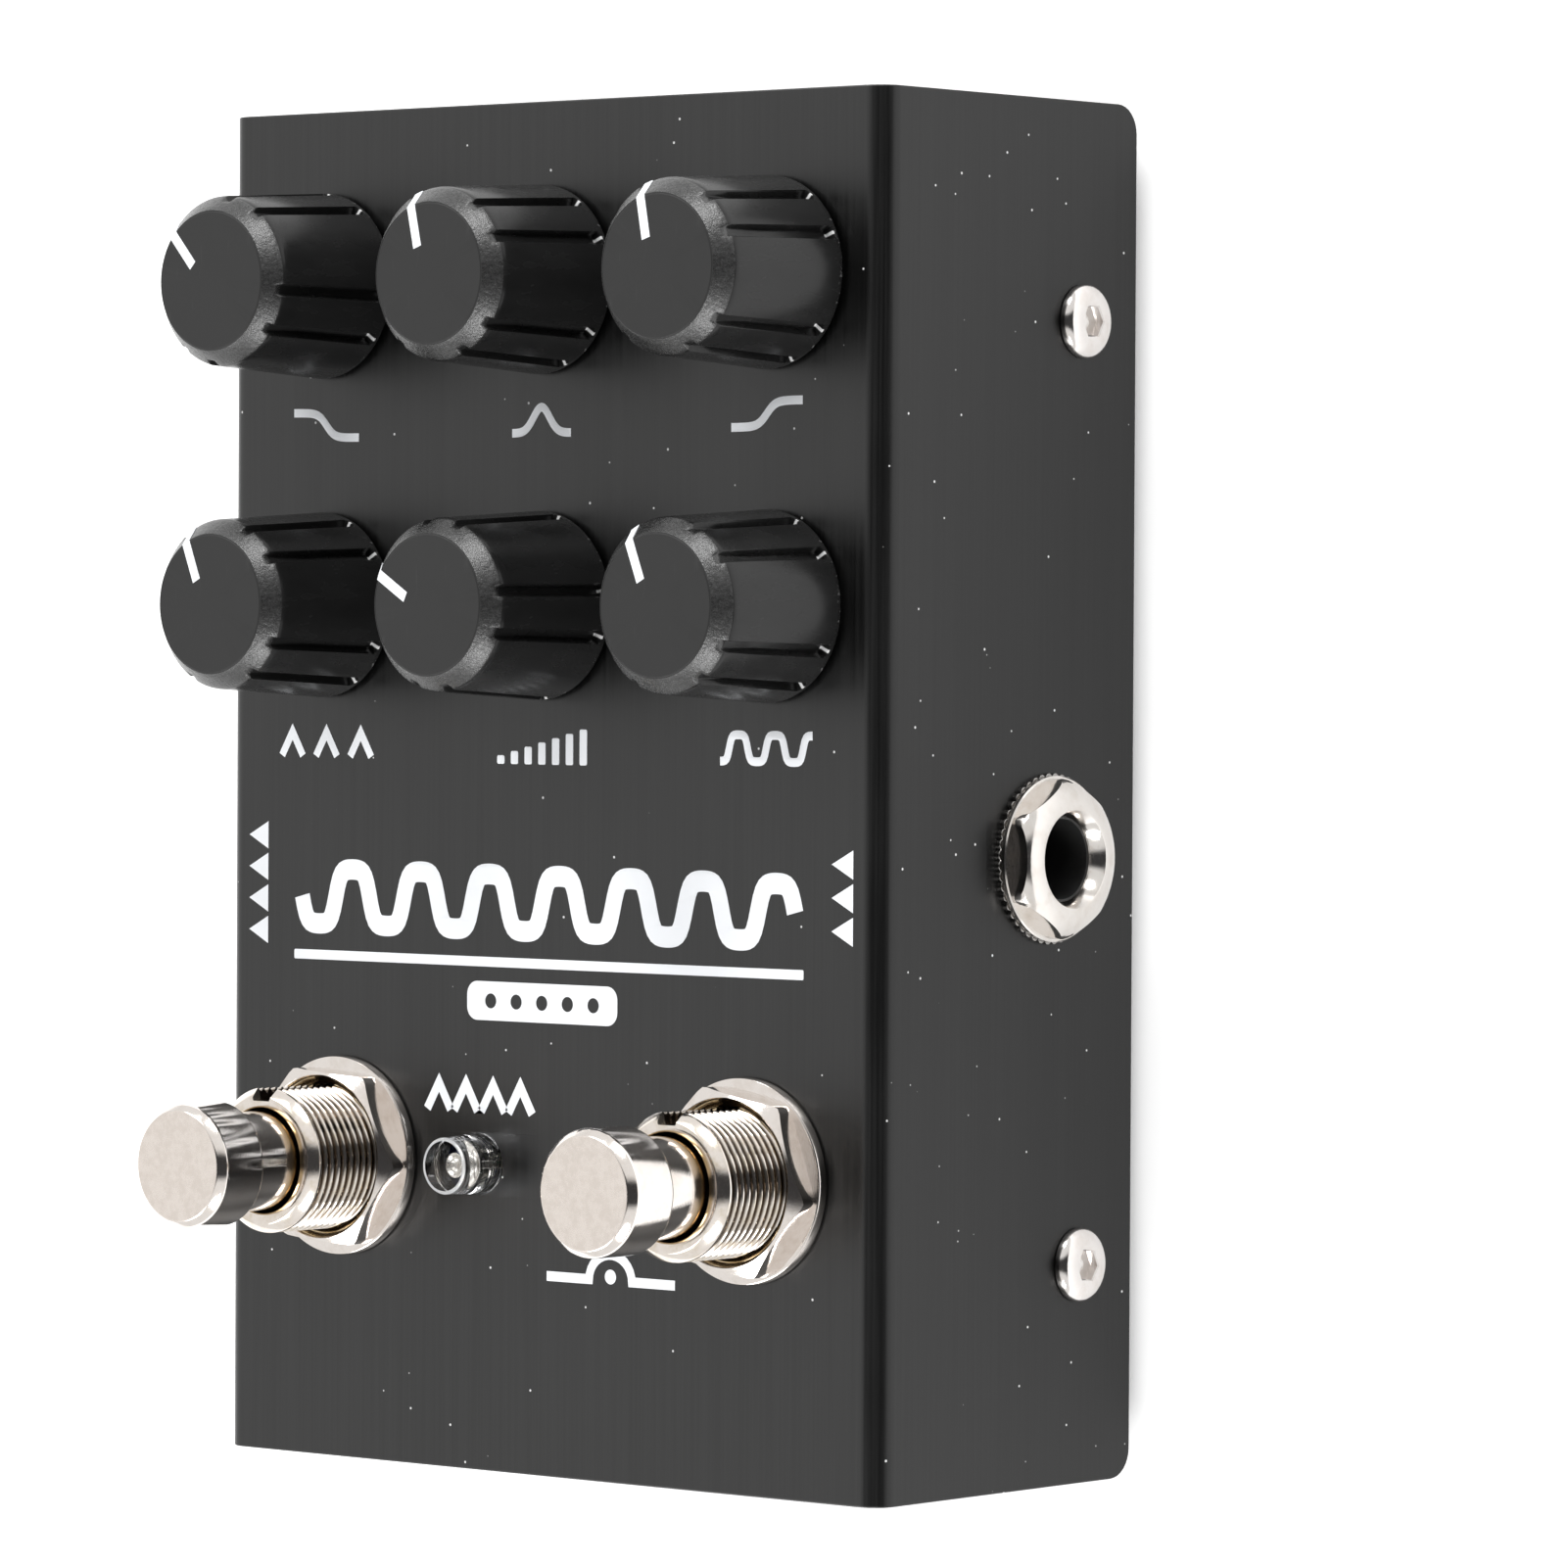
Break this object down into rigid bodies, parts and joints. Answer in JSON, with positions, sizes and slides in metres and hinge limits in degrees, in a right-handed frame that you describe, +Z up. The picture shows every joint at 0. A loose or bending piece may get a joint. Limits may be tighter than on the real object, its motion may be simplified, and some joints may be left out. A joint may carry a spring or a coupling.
{
  "type": "guitar effects pedal",
  "caption": "Flat metal effects box with rotary knobs and foot-operated push buttons on its face, and a plug socket in each side.",
  "frame": {"origin": "on the floor, under the middle of the case (bottom centre of the bounding box)", "axes": "+Z up out of the control face, +Y towards the far end with the power socket, +X towards the input jack"},
  "size_m": [0.077, 0.112, 0.0546],
  "materials": {
    "black_anodised_cover": "brushed, black anodised, satin",
    "black_anodised_tray": "black anodised, satin",
    "knob_plastic": "black, glossy sides, satin disc, textured bevel",
    "nickel_bright": "bright nickel plate, slightly warm",
    "nickel_satin": "nickel plate, satin",
    "stainless": "stainless steel, machined",
    "zinc_plate": "zinc plate",
    "brass_contact": "bare spring brass",
    "tinned": "tinned",
    "black_plastic": "moulded, matt",
    "blue_plastic": "moulded",
    "foot_rubber": "matt, fine grain",
    "clear_resin": "water-clear resin",
    "board_green": "solder resist",
    "wire_red": "insulation",
    "wire_grey": "insulation",
    "chip_black": "moulded",
    "can_sleeve": "shrunk sleeve",
    "film_red": "dipped",
    "resistor_tan": "lacquered"
  },
  "bodies": {
    "case": {"cover": "black_anodised_cover", "base_tray": "black_anodised_tray", "clinch_nuts": "zinc_plate", "cover_screws": "nickel_satin", "rubber_feet": "foot_rubber", "pot_low": "zinc_plate", "pot_mid": "zinc_plate", "pot_high": "zinc_plate", "pot_boost": "zinc_plate", "pot_level": "zinc_plate", "pot_drive": "zinc_plate", "pot_nuts": "nickel_satin", "pot_washers": "nickel_satin", "pot_pins": "tinned", "boost_switch_barrel": "nickel_bright", "bypass_switch_barrel": "nickel_bright", "boost_switch_housing": "blue_plastic", "bypass_switch_housing": "blue_plastic", "boost_return_spring": "stainless", "bypass_return_spring": "stainless", "switch_nuts": "nickel_bright", "switch_washers": "nickel_bright", "switch_lugs": "tinned", "led_boost": "clear_resin", "led_bypass": "clear_resin", "led_leads": "tinned", "input_jack": "black_plastic", "output_jack": "black_plastic", "input_jack_contacts": "brass_contact", "output_jack_contacts": "brass_contact", "jack_nuts": "nickel_bright", "jack_washers": "nickel_satin", "dc_jack": "black_plastic", "dc_jack_pin": "tinned", "dc_jack_spring": "brass_contact", "main_board": "board_green", "switch_board": "board_green", "board_wires": "wire_red", "jack_wires": "wire_grey", "op_amps": "chip_black", "op_amp_legs": "tinned", "electrolytic_capacitors": "can_sleeve", "film_capacitors": "film_red", "resistors": "resistor_tan"},
    "low_control": {"knob_low": "knob_plastic", "pot_shaft_low": "nickel_satin"},
    "mid_control": {"knob_mid": "knob_plastic", "pot_shaft_mid": "nickel_satin"},
    "high_control": {"knob_high": "knob_plastic", "pot_shaft_high": "nickel_satin"},
    "boost_control": {"knob_boost": "knob_plastic", "pot_shaft_boost": "nickel_satin"},
    "level_control": {"knob_level": "knob_plastic", "pot_shaft_level": "nickel_satin"},
    "drive_control": {"knob_drive": "knob_plastic", "pot_shaft_drive": "nickel_satin"},
    "boost_button": {"boost_plunger": "nickel_bright"},
    "bypass_button": {"bypass_plunger": "nickel_bright"}
  },
  "joints": [
    {"name": "turn_low", "type": "hinge", "parent": "case", "child": "low_control", "pos_m": [-0.0242, 0.0415, 0.0349], "axis": [0, 0, 1], "range_deg": [-198, 102]},
    {"name": "turn_mid", "type": "hinge", "parent": "case", "child": "mid_control", "pos_m": [0, 0.0415, 0.0349], "axis": [0, 0, 1], "range_deg": [-169, 131]},
    {"name": "turn_high", "type": "hinge", "parent": "case", "child": "high_control", "pos_m": [0.0242, 0.0415, 0.0349], "axis": [0, 0, 1], "range_deg": [-167, 133]},
    {"name": "turn_boost", "type": "hinge", "parent": "case", "child": "boost_control", "pos_m": [-0.0242, 0.015, 0.0349], "axis": [0, 0, 1], "range_deg": [-178, 122]},
    {"name": "turn_level", "type": "hinge", "parent": "case", "child": "level_control", "pos_m": [0, 0.015, 0.0349], "axis": [0, 0, 1], "range_deg": [-215, 85]},
    {"name": "turn_drive", "type": "hinge", "parent": "case", "child": "drive_control", "pos_m": [0.0242, 0.015, 0.0349], "axis": [0, 0, 1], "range_deg": [-178, 122]},
    {"name": "press_boost", "type": "slide", "parent": "case", "child": "boost_button", "axis": [0, 0, -1], "range_m": [0, 0.0028], "stiffness_N_per_m": 3000, "springref_m": -0.004, "deforming": ["boost_return_spring"]},
    {"name": "press_bypass", "type": "slide", "parent": "case", "child": "bypass_button", "axis": [0, 0, -1], "range_m": [0, 0.0028], "stiffness_N_per_m": 3000, "springref_m": -0.004, "deforming": ["bypass_return_spring"]}
  ]
}
